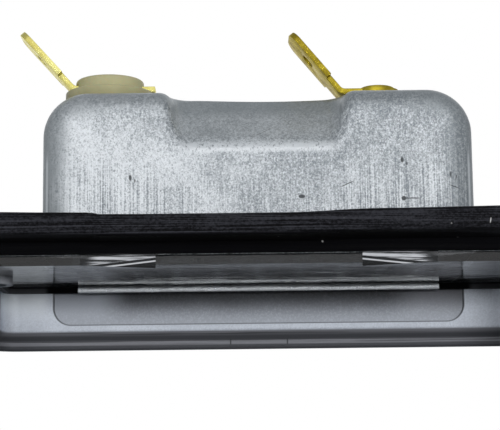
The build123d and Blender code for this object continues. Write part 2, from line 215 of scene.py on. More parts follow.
class NodeGraph(NodeBuilder):
    """Builds one procedural material on Object coordinates."""

    def __init__(self, name: str) -> None:
        """Starts a material that holds one Principled shader.

        Args:
            name: Name of the material.
        """
        self.material = bpy.data.materials.new(name)
        self.material.use_nodes = True
        super().__init__(self.material.node_tree)
        self.shader = self.tree.nodes["Principled BSDF"]
        self.output = self.tree.nodes["Material Output"]
        self.place = self.node("ShaderNodeTexCoord").outputs["Object"]
        axes = self.node("ShaderNodeSeparateXYZ", self.place).outputs
        self.measures = {name: axes[name] for name in "XYZ"}
        self.measures["side"] = self.math("ABSOLUTE", axes["X"])
        self.measures["depth"] = self.math("ABSOLUTE", axes["Y"])
        self.noises: dict[Grain, Socket] = {}

    def shade(self, **inputs: Socket | float | Colour) -> bpy.types.Material:
        """Fills inputs of the shader.

        Args:
            inputs: Sockets, numbers and colours, with underscores for the spaces in the inputs' names.

        Returns:
            The material.
        """
        for name, value in inputs.items():
            if isinstance(value, tuple):
                value = (*value, 1.0)
            self.feed(self.shader.inputs[name.replace("_", " ")], value)
        return self.material

    def noise(self, grain: Grain) -> Socket:
        """Noise in one pattern, made once.

        Args:
            grain: The pattern.

        Returns:
            The factor's socket.
        """
        if grain not in self.noises:
            place = self.node(
                "ShaderNodeMapping", self.place, Rotation=radians(grain.turn), Scale=grain.scale
            )
            self.noises[grain] = self.node(
                "ShaderNodeTexNoise", place.outputs[0], Scale=1.0, Detail=grain.detail,
                Roughness=grain.rough, Distortion=grain.warp,
            ).outputs["Fac"]
        return self.noises[grain]

    def tone(self, *grains: Grain) -> Socket:
        """Sum of noises, each times its share."""
        return self.sum(*((self.noise(grain), grain.share) for grain in grains))

    def patches(self, grain: Grain, limits: Span | Ramp) -> Socket:
        """Smooth ramp over a noise."""
        return self.ramp(self.noise(grain), *limits)

    def cells(self, scale: float) -> Socket:
        """Distance to the nearest of many scattered points, with so many cells to a metre."""
        place = self.node("ShaderNodeMapping", self.place, Scale=even(scale)).outputs[0]
        return self.node("ShaderNodeTexVoronoi", place, Scale=1.0).outputs["Distance"]

    def spot(self, mark: Mark) -> Socket:
        """Mask of one small mark.

        Args:
            mark: The mark.

        Returns:
            The mask's socket, the mark's strength inside it and 0 outside.
        """
        local = self.node(
            "ShaderNodeMapping", self.place, metres(mark.centre), radians(mark.turn), metres(mark.radii),
            vector_type="TEXTURE",
        )
        length = self.node("ShaderNodeVectorMath", local.outputs[0], operation="LENGTH")
        return self.ramp(length.outputs["Value"], 1.0, 1.0 - mark.soft, 0.0, mark.strength)

    def step(self, zone: Zone) -> Socket:
        """Mask of one zone.

        Args:
            zone: The zone.

        Returns:
            The mask's socket.
        """
        source = self.measures[zone.measure]
        if zone.middle is not None:
            source = self.math("ABSOLUTE", self.math("SUBTRACT", source, zone.middle * MM))
        return self.ramp(source, zone.clear * MM, zone.full * MM, zone.least, zone.share)

    def where(self, *zones: Zone) -> Socket:
        """Mask of the place where zones meet."""
        return self.product(*(self.step(zone) for zone in zones))

    def past_corner(self, first: Socket, second: Socket, radius: float) -> Socket:
        """Distance outside an outline with round corners.

        Args:
            first: Distance past the corner's centre one way, in metres.
            second: Distance past it the other way, in metres.
            radius: Radius of the corner in millimetres.

        Returns:
            The distance's socket, in metres.
        """
        squares = [self.math("POWER", self.math("MAXIMUM", way), 2.0) for way in (first, second)]
        reach = self.math("POWER", self.chain("ADD", squares), 0.5)
        return self.math("SUBTRACT", reach, radius * MM)

    def mix(self, factor: Socket, first: Socket | Colour, second: Socket | Colour) -> Socket:
        """Colour between two colours.

        Args:
            factor: Share of the second colour.
            first: Colour or socket where the factor is 0.
            second: Colour or socket where the factor is 1.

        Returns:
            The colour's socket.
        """
        node = self.node("ShaderNodeMix", factor, data_type="RGBA")
        targets = [socket for socket in node.inputs if socket.type == "RGBA"]
        for target, value in zip(targets, (first, second)):
            self.feed(target, (*value, 1.0) if isinstance(value, tuple) else value)
        return [socket for socket in node.outputs if socket.type == "RGBA"][0]

    def bump(self, height: Socket, depth: float, before: Socket | None = None) -> Socket:
        """Normal bent by a height, on top of an earlier bump.

        Args:
            height: Height as a share of the depth.
            depth: Millimetres that a height of 1 stands for.
            before: Normal to start from.

        Returns:
            The normal's socket.
        """
        node = self.node("ShaderNodeBump", Distance=depth * MM, Height=height)
        if before is not None:
            self.link(before, node.inputs["Normal"])
        return node.outputs["Normal"]

    def relief(self, *grains: Grain, before: Socket | None = None) -> Socket:
        """Normal bent by noises, each by its own relief.

        Args:
            grains: Patterns of the noises.
            before: Normal to start from.

        Returns:
            The normal's socket.
        """
        for grain in grains:
            before = self.bump(self.noise(grain), grain.relief, before)
        return before


class GeometryTree(NodeBuilder):
    """Builds one Geometry Nodes tree with named inputs and turns its result into a plain mesh."""

    def __init__(self, name: str) -> None:
        """Starts a tree with a geometry input and output.

        Args:
            name: Name of the tree.
        """
        super().__init__(bpy.data.node_groups.new(name, "GeometryNodeTree"))
        for side in ("INPUT", "OUTPUT"):
            self.tree.interface.new_socket("Geometry", in_out=side, socket_type="NodeSocketGeometry")
        self.start = self.node("NodeGroupInput")
        self.end = self.node("NodeGroupOutput")
        self.values: dict[str, float] = {}

    def size(self, name: str, value: float) -> Socket:
        """Adds a named input.

        Args:
            name: Name of the input.
            value: Value that the modifier gives it.

        Returns:
            The input's socket inside the tree.
        """
        item = self.tree.interface.new_socket(name, in_out="INPUT", socket_type="NodeSocketFloat")
        self.values[item.identifier] = value
        return self.start.outputs[name]

    def close(self, geometry: Socket, material: bpy.types.Material) -> None:
        """Ends the tree with real geometry in one material.

        Args:
            geometry: Geometry to put out.
            material: Finish of all of it.
        """
        real = self.node("GeometryNodeRealizeInstances", geometry)
        dressed = self.node("GeometryNodeSetMaterial", real.outputs[0], Material=material)
        self.link(dressed.outputs[0], self.end.inputs[0])

    def apply(self, piece: bpy.types.Object) -> None:
        """Runs the tree on a piece and leaves its result as the piece's own mesh.

        Args:
            piece: Piece that gets the mesh.
        """
        modifier = piece.modifiers.new(self.tree.name, "NODES")
        modifier.node_group = self.tree
        for identifier, value in self.values.items():
            modifier[identifier] = value
        graph = bpy.context.evaluated_depsgraph_get()
        mesh = bpy.data.meshes.new_from_object(piece.evaluated_get(graph), depsgraph=graph)
        piece.modifiers.remove(modifier)
        mesh.name = piece.name
        piece.data = mesh


def node_copy(node: str) -> bmesh.types.BMesh:
    """Copy of a carried-over node in millimetres, with its loose triangles joined.

    Args:
        node: Name of the node.

    Returns:
        The joined mesh.
    """
    mesh = bmesh.new()
    mesh.from_mesh(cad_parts[node].data)
    bmesh.ops.scale(mesh, vec=even(1 / MM), verts=mesh.verts)
    bmesh.ops.remove_doubles(mesh, verts=mesh.verts, dist=JOIN_DISTANCE)
    return mesh


def new_piece(name: str, source: bmesh.types.BMesh) -> bpy.types.Object:
    """Object at the origin with a mesh given in millimetres.

    Args:
        name: Name of the piece.
        source: Mesh in millimetres, freed here.

    Returns:
        The piece.
    """
    bmesh.ops.scale(source, vec=even(MM), verts=source.verts)
    mesh = bpy.data.meshes.new(name)
    source.to_mesh(mesh)
    source.free()
    if "custom_normal" in mesh.attributes:
        mesh.attributes.remove(mesh.attributes["custom_normal"])
    mesh.shade_smooth()
    mesh.set_sharp_from_angle(angle=math.radians(SHARP_ANGLE))
    piece = bpy.data.objects.new(name, mesh)
    bpy.context.scene.collection.objects.link(piece)
    return piece


def seat(piece: bpy.types.Object, node: str) -> None:
    """Lets a piece ride on the lamp in place of a carried-over node.

    Args:
        piece: New piece.
        node: Node that it stands for.
    """
    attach(piece, Body.LAMP.value)
    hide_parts(node)
    LOG.info("%s: %d faces, in place of %s", piece.name, len(piece.data.polygons), node)


def finish_node(node: str, material: bpy.types.Material) -> None:
    """Gives a carried-over node its finish.

    Args:
        node: Name of the node.
        material: Its finish.
    """
    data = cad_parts[node].data
    data.materials.clear()
    data.materials.append(material)
    LOG.info("%s: finished in %s", node, material.name)


@dataclass(frozen=True)
class DrawnAluminium:
    """Aluminium with draw marks, pits and a rolled hem, and with painted light and shade.

    It is bright on its walls and darkened on top by painted shade, and leans lighter to the left by
    painted light. Its round ends, its top edge and the groove over the hem have painted shade, and the
    scoop's lower lips, the rounds of its ends and the hem have painted highlights.

    Lengths are in millimetres.
    """

    pale: Colour = (0.9, 0.94, 0.98)
    grey: Colour = (0.25, 0.28, 0.31)
    painted_top_shade: Colour = (0.45, 0.48, 0.5)
    edge: Colour = (0.27, 0.3, 0.32)
    painted_highlight: Colour = (0.92, 0.96, 1.0)
    soot_and_shade: Colour = (0.05, 0.055, 0.06)
    soot_and_shade_share: float = 0.9
    metallic: float = 0.75
    gloss: Ramp = (0.3, 0.7, 0.32, 0.54)
    blotch: Grain = Grain(even(160), 4, 0.6, 0.5, share=0.9, relief=0.3)
    grain: Grain = Grain(even(4200), 2, 0.8, share=1.5, relief=0.04)
    speck: Grain = Grain((2200, 2200, 1500), 3, 0.8, share=1.35)
    streak: Grain = Grain((4600, 4600, 60), 2, 0.65, share=1.8, relief=0.04)
    streak_middle: float = 0.46
    painted_light_lean: float = -4.5
    tone: Span = (1.46, 2.28)
    marks: Zones = (Zone("marks", 31.0, 21.0), Zone("Z", 11.2, 12.2), Zone("side", 7.0, 15.0, least=0.4))
    marks_ragged: float = 14.0
    marks_fall: float = 0.15
    top_shade_zone: Zone = Zone("depth", 10.1, 8.4, share=0.5)
    end_edge_shade: Zone = Zone("side", 23.8, 26.2)
    top_edge_shade: Zone = Zone("edge", 28.7, 31.0)
    corner_start: float = 19.0
    corner_fall: float = 0.2
    edge_shade_patches: Ramp = (0.2, 0.7, 0.3, 0.75)
    lip_highlights: Zones = (Zone("Z", 1.2, 0.2, 24.7), Zone("side", 11.5, 8.5), Zone("depth", 9.0, 9.6))
    lip_highlight_patches: Span = (0.3, 0.5)
    end_highlights: Zones = (Zone("side", 0.25, 0.08, 27.75), Zone("Z", 25.0, 22.0, share=0.6))
    hem: Zone = Zone("Z", 9.2, 8.9)
    hem_gloss: float = 0.25
    groove_shade: Zone = Zone("Z", 0.3, 0.12, 8.9)
    bead: float = 8.4
    bead_half: float = 0.4
    bead_relief: float = -0.06
    wall: float = -10.5
    pits: tuple[Mark, ...] = (
        Mark((5.7, wall, 17.9), (0.5, 1, 0.28), soft=0.3),
        Mark((19.0, wall, 17.5), (0.36, 1, 0.36), soft=0.3),
        Mark((20.2, wall, 17.5), (1.5, 1, 0.1)),
        Mark((18.9, wall, 22.6), (0.26, 1, 0.5)),
        Mark((19.5, wall, 22.1), (0.12, 1, 0.3)),
        Mark((-16.7, wall, 20.6), (0.26, 1, 0.5)),
        Mark((-16.1, wall, 20.2), (0.12, 1, 0.35)),
        Mark((25.2, wall, 20.6), (0.14, 1, 0.55)),
        Mark((25.9, wall, 20.2), (0.1, 1, 0.45), (0, 10, 0)),
        Mark((25.6, wall, 19.0), (0.9, 1, 0.08), (0, 20, 0)),
        Mark((11.7, wall, 19.5), (1.2, 1, 0.09), (0, -25, 0)),
        Mark((0.5, -8.0, 26.8), (2.9, 2.5, 0.1), (0, -31, 0), strength=0.4),
        Mark((24.0, -9.0, 29.2), (0.12, 1, 0.5), (0, 12, 0)),
    )

    def measure(self, graph: NodeGraph) -> None:
        """Adds the heights that the draw marks' upper ends and the painted shade on the top edge go by.

        Args:
            graph: Material to build in.
        """
        height, side = graph.measures["Z"], graph.measures["side"]
        ragged = (graph.noise(self.blotch), self.marks_ragged * MM)
        graph.measures["marks"] = graph.sum(ragged, (height, 1.0), (side, -self.marks_fall))
        corner = graph.math("MAXIMUM", graph.math("SUBTRACT", side, self.corner_start * MM))
        graph.measures["edge"] = graph.sum((height, 1.0), (corner, self.corner_fall))

    def bead_height(self, graph: NodeGraph) -> Socket:
        """Height of the hem's round bead.

        Args:
            graph: Material to build in.

        Returns:
            The height's socket, -1 at the bead's middle and 0 outside it.
        """
        offset = graph.math("SUBTRACT", graph.measures["Z"], self.bead * MM)
        offset = graph.math("DIVIDE", offset, self.bead_half * MM)
        square = graph.math("POWER", graph.math("ABSOLUTE", offset), 2.0)
        return graph.math("SUBTRACT", graph.math("MINIMUM", square, 1.0), 1.0)

    def material(self) -> bpy.types.Material:
        """Builds the finish.

        Returns:
            The material.
        """
        graph = NodeGraph("drawn_aluminium")
        self.measure(graph)
        streak = graph.math("SUBTRACT", graph.noise(self.streak), self.streak_middle)
        drawn = graph.product(streak, graph.where(*self.marks))
        tone = graph.tone(self.blotch, self.grain, self.speck)
        # Painted light: the tone leans lighter to the left and darker to the right.
        tone = graph.sum((tone, 1.0), (drawn, self.streak.share), (graph.measures["X"], self.painted_light_lean))
        colour = graph.mix(graph.ramp(tone, *self.tone), self.grey, self.pale)
        # Painted shade: the top and the scoop, back from the walls, are darkened.
        colour = graph.mix(graph.where(self.top_shade_zone), colour, self.painted_top_shade)
        # Painted shade, in patches, on the rounded ends and along the top edge.
        edges = graph.union(graph.where(self.end_edge_shade), graph.where(self.top_edge_shade))
        wear_and_shade = graph.product(edges, graph.patches(self.blotch, self.edge_shade_patches))
        colour = graph.mix(wear_and_shade, colour, self.edge)
        # Painted highlights on the scoop's lower lips, along the rounds of the ends and on the hem.
        hem = graph.where(self.hem)
        lip_highlights = graph.product(graph.where(*self.lip_highlights), graph.patches(self.speck, self.lip_highlight_patches))
        colour = graph.mix(graph.union(lip_highlights, hem, graph.where(*self.end_highlights)), colour, self.painted_highlight)
        # Dark pits, and painted shade in the groove over the hem.
        dark = graph.union(*(graph.spot(pit) for pit in self.pits), graph.where(self.groove_shade))
        colour = graph.mix(graph.product(dark, self.soot_and_shade_share), colour, self.soot_and_shade)
        rough = graph.patches(self.speck, self.gloss)
        rough = graph.math("SUBTRACT", rough, graph.product(hem, self.hem_gloss))
        normal = graph.bump(drawn, self.streak.relief, graph.relief(self.grain))
        normal = graph.relief(self.blotch, before=normal)
        normal = graph.bump(self.bead_height(graph), self.bead_relief, normal)
        return graph.shade(Base_Color=colour, Metallic=self.metallic, Roughness=rough, Normal=normal)


@dataclass(frozen=True)
class GasketRubber:
    """Black rubber with fine moulding lines along its face and dust on it, darkened by painted shade below
    its face, with painted light on the skirt's ends.
    """

    painted_shade_black: Colour = (0.0015, 0.0015, 0.002)
    wear_and_shade: Colour = (0.034, 0.035, 0.042)
    skirt: Colour = (0.09, 0.093, 0.1)
    dust: Colour = (0.5, 0.5, 0.5)
    dust_share: float = 0.8
    specular: float = 0.08
    gloss: Ramp = (0.3, 0.7, 0.5, 0.75)
    lines: Grain = Grain((45, 45, 5200), 2, 0.6, share=0.75, relief=0.05)
    cloud: Grain = Grain((110, 110, 300), 3, 0.6, share=0.25, relief=0.05)
    grain: Grain = Grain((2600, 2600, 4200), 2, 0.8, share=0.4)
    tone: Span = (0.6, 0.86)
    face: Zone = Zone("Z", 11.8, 12.2)
    lit_skirt_ends: Zones = (Zone("side", 30.0, 31.0), Zone("Z", 9.0, 8.7))
    fleck_scale: float = 520.0
    fleck_size: Span = (0.1, 0.05)
    fleck_cloud: Grain = Grain(even(300), 2)
    fleck_patches: Span = (0.56, 0.66)
    fibre: Mark = Mark((28.9, -19.0, 13.15), (0.1, 1, 0.45), (0, 10, 0))

    def material(self) -> bpy.types.Material:
        """Builds the finish.

        Returns:
            The material.
        """
        graph = NodeGraph("gasket_rubber")
        tone = graph.ramp(graph.tone(self.lines, self.cloud, self.grain), *self.tone)
        # Painted shade: below its face the rubber is darkened to near black.
        colour = graph.mix(graph.product(tone, graph.where(self.face)), self.painted_shade_black, self.wear_and_shade)
        # Painted light: the skirt's ends are lighter.
        colour = graph.mix(graph.where(*self.lit_skirt_ends), colour, self.skirt)
        flecks = graph.ramp(graph.cells(self.fleck_scale), *self.fleck_size)
        flecks = graph.product(flecks, graph.patches(self.fleck_cloud, self.fleck_patches))
        dusty = graph.product(graph.union(flecks, graph.spot(self.fibre)), self.dust_share)
        return graph.shade(
            Base_Color=graph.mix(dusty, colour, self.dust), Specular_IOR_Level=self.specular,
            Roughness=graph.patches(self.lines, self.gloss), Normal=graph.relief(self.lines, self.cloud),
        )


@dataclass(frozen=True)
class ClearPlastic:
    """Clear moulded plastic with a faint flow in its surface, painted shade on its front edge and painted
    highlights on its lugs' facets.

    Lengths are in millimetres.
    """

    tint: Colour = (0.88, 0.9, 0.92)
    edge: Colour = (0.1, 0.105, 0.115)
    facet_highlight: Colour = (0.72, 0.74, 0.78)
    clear: float = 0.94
    facet_highlight_clear: float = 0.25
    refraction: float = 1.49
    specular: float = 0.4
    gloss: Ramp = (0.4, 0.75, 0.05, 0.17)
    flow: Grain = Grain((70, 160, 90), 2, 0.5, 0.8, relief=0.12)
    haze: Grain = Grain(even(900), 3, 0.6)
    front: float = -12.2
    shaded_front_edge: Zone = Zone("Y", front + 0.3, front + 0.1)
    front_face: Zone = Zone("Y", front + 0.1, front)
    lug_start: float = 13.3
    lug_inner: Zone = Zone("lug", -0.05, 0.02)
    lug_outer: Zone = Zone("lug", 9.7, 7.2)
    facet_fall: float = 0.103
    upper_facet: Zone = Zone("facet", 9.72, 9.8)
    lower_facet: Zone = Zone("facet", 0.13, 0.07, 9.35)
    highlight_streaks: Grain = Grain((140, 140, 4200), 3, 0.6, turn=(0, 6, 0))
    highlight_streak_patches: Span = (0.36, 0.6)
    bloom_and_highlight: Grain = Grain(even(300), 2)
    side_highlight_ragged: float = 1.2
    side_highlight_end: Zone = Zone("lug", 16.7, 13.7)
    side_highlight_edge: Zone = Zone("bloom_and_highlight", 9.8, 10.0, share=0.3)

    def facets(self, graph: NodeGraph) -> Socket:
        """Mask of the painted highlights on the facets that slope across both snap lugs, and in a band
        beside them.

        Args:
            graph: Material to build in.

        Returns:
            The mask's socket.
        """
        height = (graph.measures["Z"], 1.0)
        reach = graph.math("SUBTRACT", graph.measures["side"], self.lug_start * MM)
        ragged = (graph.noise(self.bloom_and_highlight), self.side_highlight_ragged * MM)
        graph.measures["lug"] = reach
        graph.measures["facet"] = graph.sum(height, (reach, self.facet_fall))
        graph.measures["bloom_and_highlight"] = graph.sum(height, (reach, -self.facet_fall / 2), ragged)
        upper = graph.product(
            graph.where(self.upper_facet), graph.patches(self.highlight_streaks, self.highlight_streak_patches)
        )
        facets = graph.union(upper, graph.where(self.lower_facet))
        lugs = graph.product(facets, graph.where(self.lug_inner, self.lug_outer))
        beside = graph.math("SUBTRACT", graph.where(self.side_highlight_end), graph.where(self.lug_outer))
        bloom_and_highlight = graph.product(beside, graph.where(self.side_highlight_edge))
        return graph.product(graph.union(lugs, bloom_and_highlight), graph.where(self.front_face))

    def material(self) -> bpy.types.Material:
        """Builds the finish.

        Returns:
            The material.
        """
        graph = NodeGraph("clear_plastic")
        facets = self.facets(graph)
        # Painted shade: the front edge is tinted dark.
        colour = graph.mix(graph.where(self.shaded_front_edge), self.tint, self.edge)
        # Painted highlight: the facets and the band beside them are lighter and less clear.
        return graph.shade(
            Base_Color=graph.mix(facets, colour, self.facet_highlight), IOR=self.refraction,
            Transmission_Weight=graph.ramp(facets, 0.0, 1.0, self.clear, self.facet_highlight_clear),
            Specular_IOR_Level=self.specular, Roughness=graph.patches(self.haze, self.gloss),
            Normal=graph.relief(self.flow),
        )


@dataclass(frozen=True)
class CastSilver:
    """Satin silver coat with fine flake, darker in the window-shaped recess and on the rim.

    It has painted light on the inner face's left end, and painted shade on the bosses, in the recess, on
    the rim and in a dark line round the recess.

    Lengths are in millimetres. What is shaded stays off the hood's outer faces.
    """

    bright: Colour = (0.88, 0.94, 1.0)
    silver: Colour = (0.72, 0.775, 0.86)
    shade: Colour = (0.53, 0.57, 0.645)
    boss_shade: Colour = (0.4, 0.42, 0.46)
    recess: Colour = (0.42, 0.45, 0.505)
    recess_left: Colour = (0.4, 0.43, 0.485)
    recess_right_shade: Colour = (0.2, 0.207, 0.23)
    recess_top_shade: Colour = (0.05, 0.052, 0.058)
    outline: Colour = (0.07, 0.073, 0.08)
    shadow: Colour = (0.072, 0.075, 0.085)
    lip: Colour = (0.22, 0.226, 0.25)
    metallic: float = 0.3
    gloss: Ramp = (0.3, 0.7, 0.34, 0.5)
    cloud: Grain = Grain(even(130), 3, 0.6, share=0.5, relief=0.06)
    flake: Grain = Grain(even(3800), 2, 0.8, share=0.6, relief=0.015)
    brush: Grain = Grain((40, 40, 1500), 3, 0.6, share=0.25)
    tone: Span = (0.45, 0.9)
    wall: float = 13.5
    end: float = 36.7
    corner: float = 2.2
    sill: float = 3.6
    recess_half: float = 29.6
    recess_radius: float = 2.5
    recess_dark: float = 8.0
    shade_half: float = 21.0
    skin: Zone = Zone("outward", 1.2, 0.9)
    near: Zone = Zone("Y", wall - 4, wall - 3)
    lit: Zones = (Zone("X", -recess_half, -recess_half - 2), Zone("Z", sill, recess_dark), skin, near)
    boss_end: Zone = Zone("side", recess_half + 0.5, recess_half + 1.5)
    boss_rise: Zone = Zone("Z", sill, sill + 1)
    sunk: Zones = (
        Zone("Y", wall + 0.15, wall + 0.45), Zone("side", recess_half + 0.3, recess_half), skin,
        Zone("Z", sill - 0.3, sill),
    )
    climb: Zone = Zone("ragged", sill, recess_dark + 0.4)
    climb_ragged: float = 0.8
    shade_middle: Zone = Zone("side", shade_half + 3, shade_half - 3)
    shade_lean: Zone = Zone("X", -shade_half, shade_half)
    glints: Span = (0.4, 0.75)
    glints_low: float = 0.3
    glints_high: float = 0.05
    line: Zones = (Zone("recess", 0.16, 0.05, 0.0), Zone("Y", wall + 1.4, wall + 1.1, share=0.75))
    rim: Zones = (Zone("outward", 1.7, 1.4), Zone("Z", 2.75, 2.45))
    rim_foot: Zones = (Zone("Z", 1.5, 1.2), Zone("Z", 0.6, 0.8))
    rim_crest: Zone = Zone("Z", 1.8, 2.5)
    rim_lines: Grain = Grain((30, 30, 2600), 3, 0.7)
    rim_patches: Span = (0.45, 0.65)
    gate_joints: Zones = (Zone("side", 0.14, 0.06, 4.1), Zone("Z", 1.8, 1.6))

    def measure(self, graph: NodeGraph) -> None:
        """Adds the distances out from the inner face and the recess's outline, and a ragged height.

        Args:
            graph: Material to build in.
        """
        side, height = graph.measures["side"], graph.measures["Z"]
        out = graph.math("SUBTRACT", side, (self.end - self.corner) * MM)
        back = graph.math("SUBTRACT", graph.measures["Y"], (self.wall - self.corner) * MM)
        graph.measures["outward"] = graph.past_corner(out, back, self.corner)
        out = graph.math("SUBTRACT", side, (self.recess_half - self.recess_radius) * MM)
        down = graph.math("SUBTRACT", (self.sill + self.recess_radius) * MM, height)
        graph.measures["recess"] = graph.past_corner(out, down, self.recess_radius)
        cloud = (graph.noise(self.cloud), self.climb_ragged * MM)
        graph.measures["ragged"] = graph.sum((height, 1.0), cloud)

    def recess_floor(self, graph: NodeGraph) -> Socket:
        """Colour of the recess, darkened upwards and to the right by painted shade, with painted glints of
        flake.

        Args:
            graph: Material to build in.

        Returns:
            The colour's socket.
        """
        # Painted shade darkens the recess upwards and to the right; the painted glints thin out towards its
        # top.
        climb = graph.where(self.climb)
        sides = graph.mix(graph.where(self.shade_lean), self.recess_left, self.recess_right_shade)
        top = graph.mix(graph.where(self.shade_middle), sides, self.recess_top_shade)
        share = graph.ramp(climb, 0.0, 1.0, self.glints_low, self.glints_high)
        glints = graph.product(graph.patches(self.flake, self.glints), share)
        return graph.mix(glints, graph.mix(climb, self.recess, top), self.silver)

    def rim_bevel(self, graph: NodeGraph) -> Socket:
        """Colour of the rim's inner faces: painted shade with lighter bands of painted light, fine lines
        and the two joints of the gate mark.

        Args:
            graph: Material to build in.

        Returns:
            The colour's socket.
        """
        pale = graph.union(graph.where(*self.rim_foot), graph.where(self.rim_crest))
        bevel = graph.mix(pale, self.shadow, self.lip)
        bevel = graph.mix(graph.patches(self.rim_lines, self.rim_patches), bevel, self.outline)
        return graph.mix(graph.where(*self.gate_joints), bevel, self.outline)

    def material(self) -> bpy.types.Material:
        """Builds the finish.

        Returns:
            The material.
        """
        graph = NodeGraph("cast_silver")
        self.measure(graph)
        tone = graph.ramp(graph.tone(self.cloud, self.flake, self.brush), *self.tone)
        colour = graph.mix(tone, self.shade, self.silver)
        # Painted light on the inner face's left end, above the sill.
        colour = graph.mix(graph.where(*self.lit), colour, self.bright)
        # Painted shade on the bosses at the hood's ends.
        ends = graph.math("SUBTRACT", graph.where(self.boss_end), graph.where(self.near))
        colour = graph.mix(graph.product(ends, graph.where(self.skin, self.boss_rise)), colour, self.boss_shade)
        colour = graph.mix(graph.where(*self.sunk), colour, self.recess_floor(graph))
        # Painted shade: a dark line round the recess's edge.
        colour = graph.mix(graph.where(*self.line), colour, self.outline)
        # Painted shade on the rim's inner faces, with lighter bands of painted light.
        colour = graph.mix(graph.where(*self.rim), colour, self.rim_bevel(graph))
        return graph.shade(
            Base_Color=colour, Metallic=self.metallic, Roughness=graph.patches(self.flake, self.gloss),
            Normal=graph.relief(self.flake, self.cloud),
        )


@dataclass(frozen=True)
class NaturalNylon:
    """Undyed nylon, a little translucent and darker towards its foot."""

    pale: Colour = (0.4, 0.38, 0.22)
    deep: Colour = (0.27, 0.255, 0.14)
    rise: Zone = Zone("Z", 32.5, 35.5, share=0.6)
    cloud: Grain = Grain(even(350), 3, 0.6, share=0.6)
    pores: Grain = Grain(even(2500), 2, 0.6, relief=0.01)
    tone: Span = (0.2, 0.95)
    gloss: Ramp = (0.3, 0.7, 0.36, 0.5)
    scatter: float = 0.15
    scatter_depth: float = 0.6 * MM

    def material(self) -> bpy.types.Material:
        """Builds the finish.

        Returns:
            The material.
        """
        graph = NodeGraph("natural_nylon")
        tone = graph.math("ADD", graph.where(self.rise), graph.tone(self.cloud))
        return graph.shade(
            Base_Color=graph.mix(graph.ramp(tone, *self.tone), self.deep, self.pale),
            Subsurface_Weight=self.scatter, Subsurface_Scale=self.scatter_depth,
            Roughness=graph.patches(self.pores, self.gloss), Normal=graph.relief(self.pores),
        )


@dataclass(frozen=True)
class StampedBrass:
    """Stamped brass with rolling lines, stains and dots of tarnish."""

    name: str
    bright: Colour
    stain: Colour
    tarnish: Colour = (0.12, 0.09, 0.02)
    gloss: Ramp = (0.5, 0.9, 0.45, 0.3)
    cloud: Grain = Grain(even(420), 4, 0.65, 0.4, share=0.9)
    lines: Grain = Grain((260, 4200, 260), 3, 0.6, turn=(0, 48, 0), share=0.3, relief=0.012)
    pores: Grain = Grain(even(2600), 2, 0.7, share=0.15)
    tone: Span = (0.5, 0.85)
    dot_scale: float = 700.0
    dot_size: Span = (0.22, 0.1)
    dot_patches: Ramp = (0.5, 0.36, 0.0, 0.7)

    def material(self) -> bpy.types.Material:
        """Builds the finish.

        Returns:
            The material.
        """
        graph = NodeGraph(self.name)
        tone = graph.tone(self.cloud, self.lines, self.pores)
        colour = graph.mix(graph.ramp(tone, *self.tone), self.stain, self.bright)
        dots = graph.ramp(graph.cells(self.dot_scale), *self.dot_size)
        dots = graph.product(dots, graph.patches(self.cloud, self.dot_patches))
        return graph.shade(
            Base_Color=graph.mix(dots, colour, self.tarnish), Metallic=1.0,
            Roughness=graph.ramp(tone, *self.gloss), Normal=graph.relief(self.lines),
        )


@dataclass(frozen=True)
class RolledMetal:
    """Thin rolled or plated metal with fine lines and cloudy wear."""

    name: str
    bright: Colour
    wear_and_shade: Colour
    gloss: Ramp
    cloud: Grain = Grain(even(500), 3, 0.6, share=0.7)
    lines: Grain = Grain((300, 3600, 300), 3, 0.6, share=0.4, relief=0.008)
    tone: Span = (0.4, 0.75)

    def material(self) -> bpy.types.Material:
        """Builds the finish.

        Returns:
            The material.
        """
        graph = NodeGraph(self.name)
        tone = graph.ramp(graph.tone(self.cloud, self.lines), *self.tone)
        return graph.shade(
            Base_Color=graph.mix(tone, self.wear_and_shade, self.bright), Metallic=1.0,
            Roughness=graph.patches(self.lines, self.gloss), Normal=graph.relief(self.lines),
        )


@dataclass(frozen=True)
class BulbGlass:
    """Clear bulb glass with faint waves and a grey bloom from use."""

    clear: Colour = (0.98, 0.99, 0.99)
    bloom_and_highlight: Colour = (0.78, 0.78, 0.76)
    refraction: float = 1.47
    cloud: Grain = Grain(even(180), 3, 0.6, relief=0.05)
    bloom_patches: Span = (0.45, 0.8)
    gloss: Ramp = (0.4, 0.8, 0.01, 0.06)

    def material(self) -> bpy.types.Material:
        """Builds the finish.

        Returns:
            The material.
        """
        graph = NodeGraph("bulb_glass")
        bloom_and_highlight = graph.patches(self.cloud, self.bloom_patches)
        return graph.shade(
            Base_Color=graph.mix(bloom_and_highlight, self.clear, self.bloom_and_highlight), Transmission_Weight=1.0,
            IOR=self.refraction, Roughness=graph.patches(self.cloud, self.gloss),
            Normal=graph.relief(self.cloud),
        )


